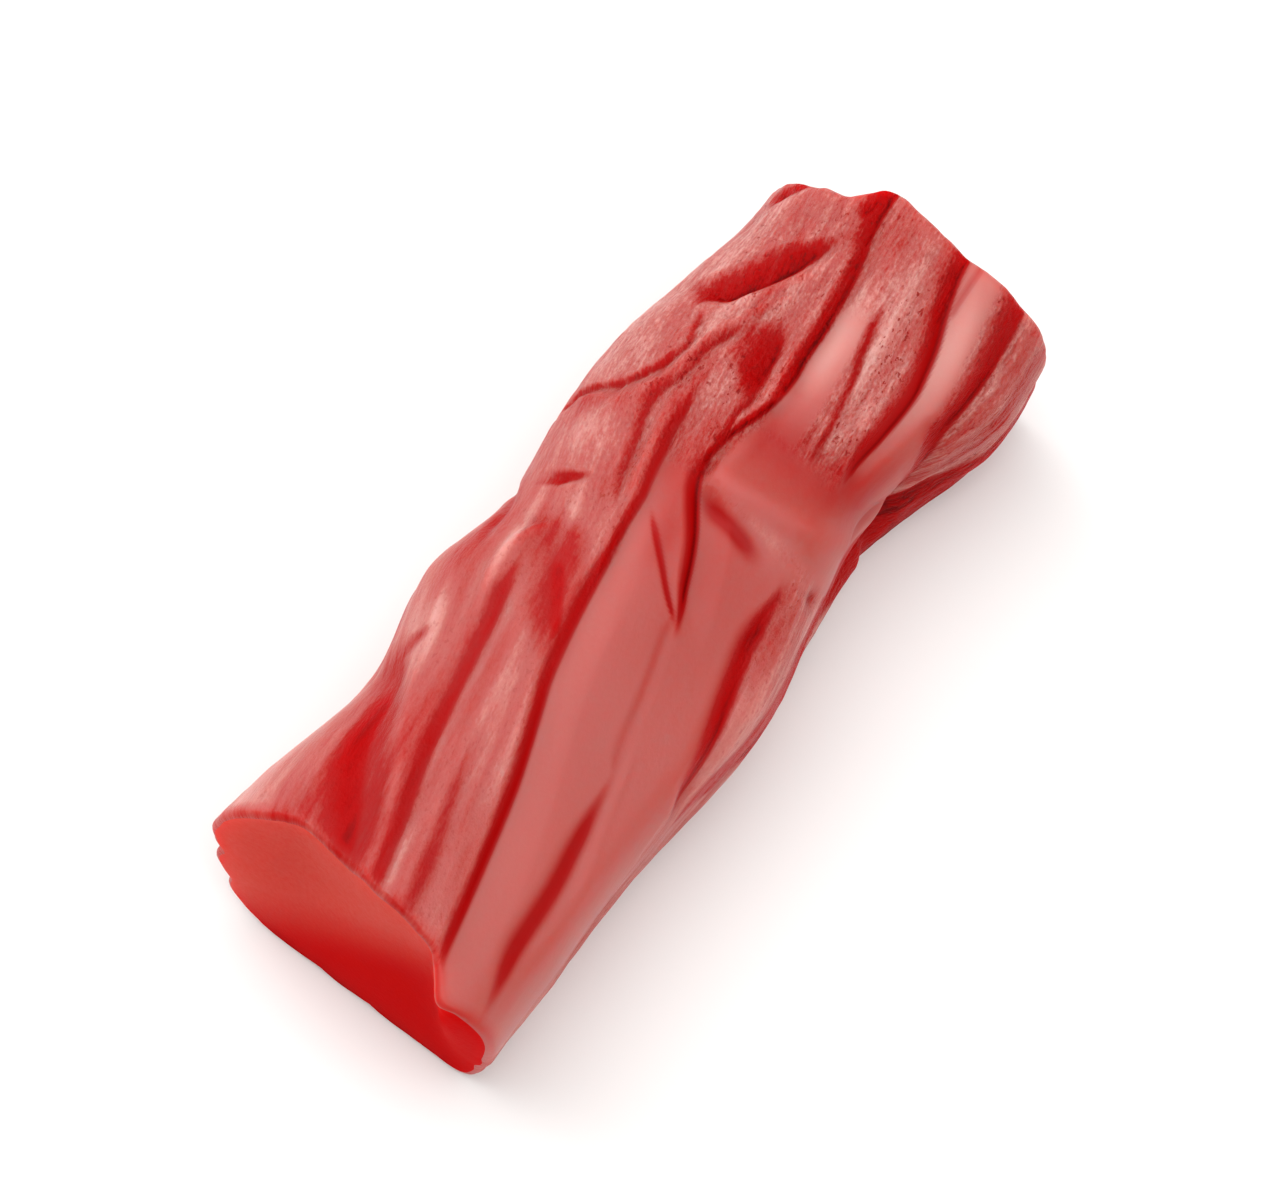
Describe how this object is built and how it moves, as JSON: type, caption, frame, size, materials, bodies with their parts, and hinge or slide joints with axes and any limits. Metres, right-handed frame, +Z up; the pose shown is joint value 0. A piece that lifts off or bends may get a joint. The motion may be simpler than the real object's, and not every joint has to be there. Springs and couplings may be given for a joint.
{
  "type": "red licorice piece",
  "caption": "Short chunky piece of soft red licorice, cut from a twisted, deeply ridged rope, lying on its flattened underside.",
  "frame": {"origin": "middle of the underside of the piece's box, where it rests", "axes": "+X along the piece from its near cut to its far cut, +Z up, +Y to the left of the shown side seen from the near cut"},
  "size_m": [0.0476, 0.0186, 0.0155],
  "materials": {
    "licorice": "translucent red candy with a satin sheen"
  },
  "bodies": {
    "root": {"licorice": "licorice"}
  },
  "joints": []
}
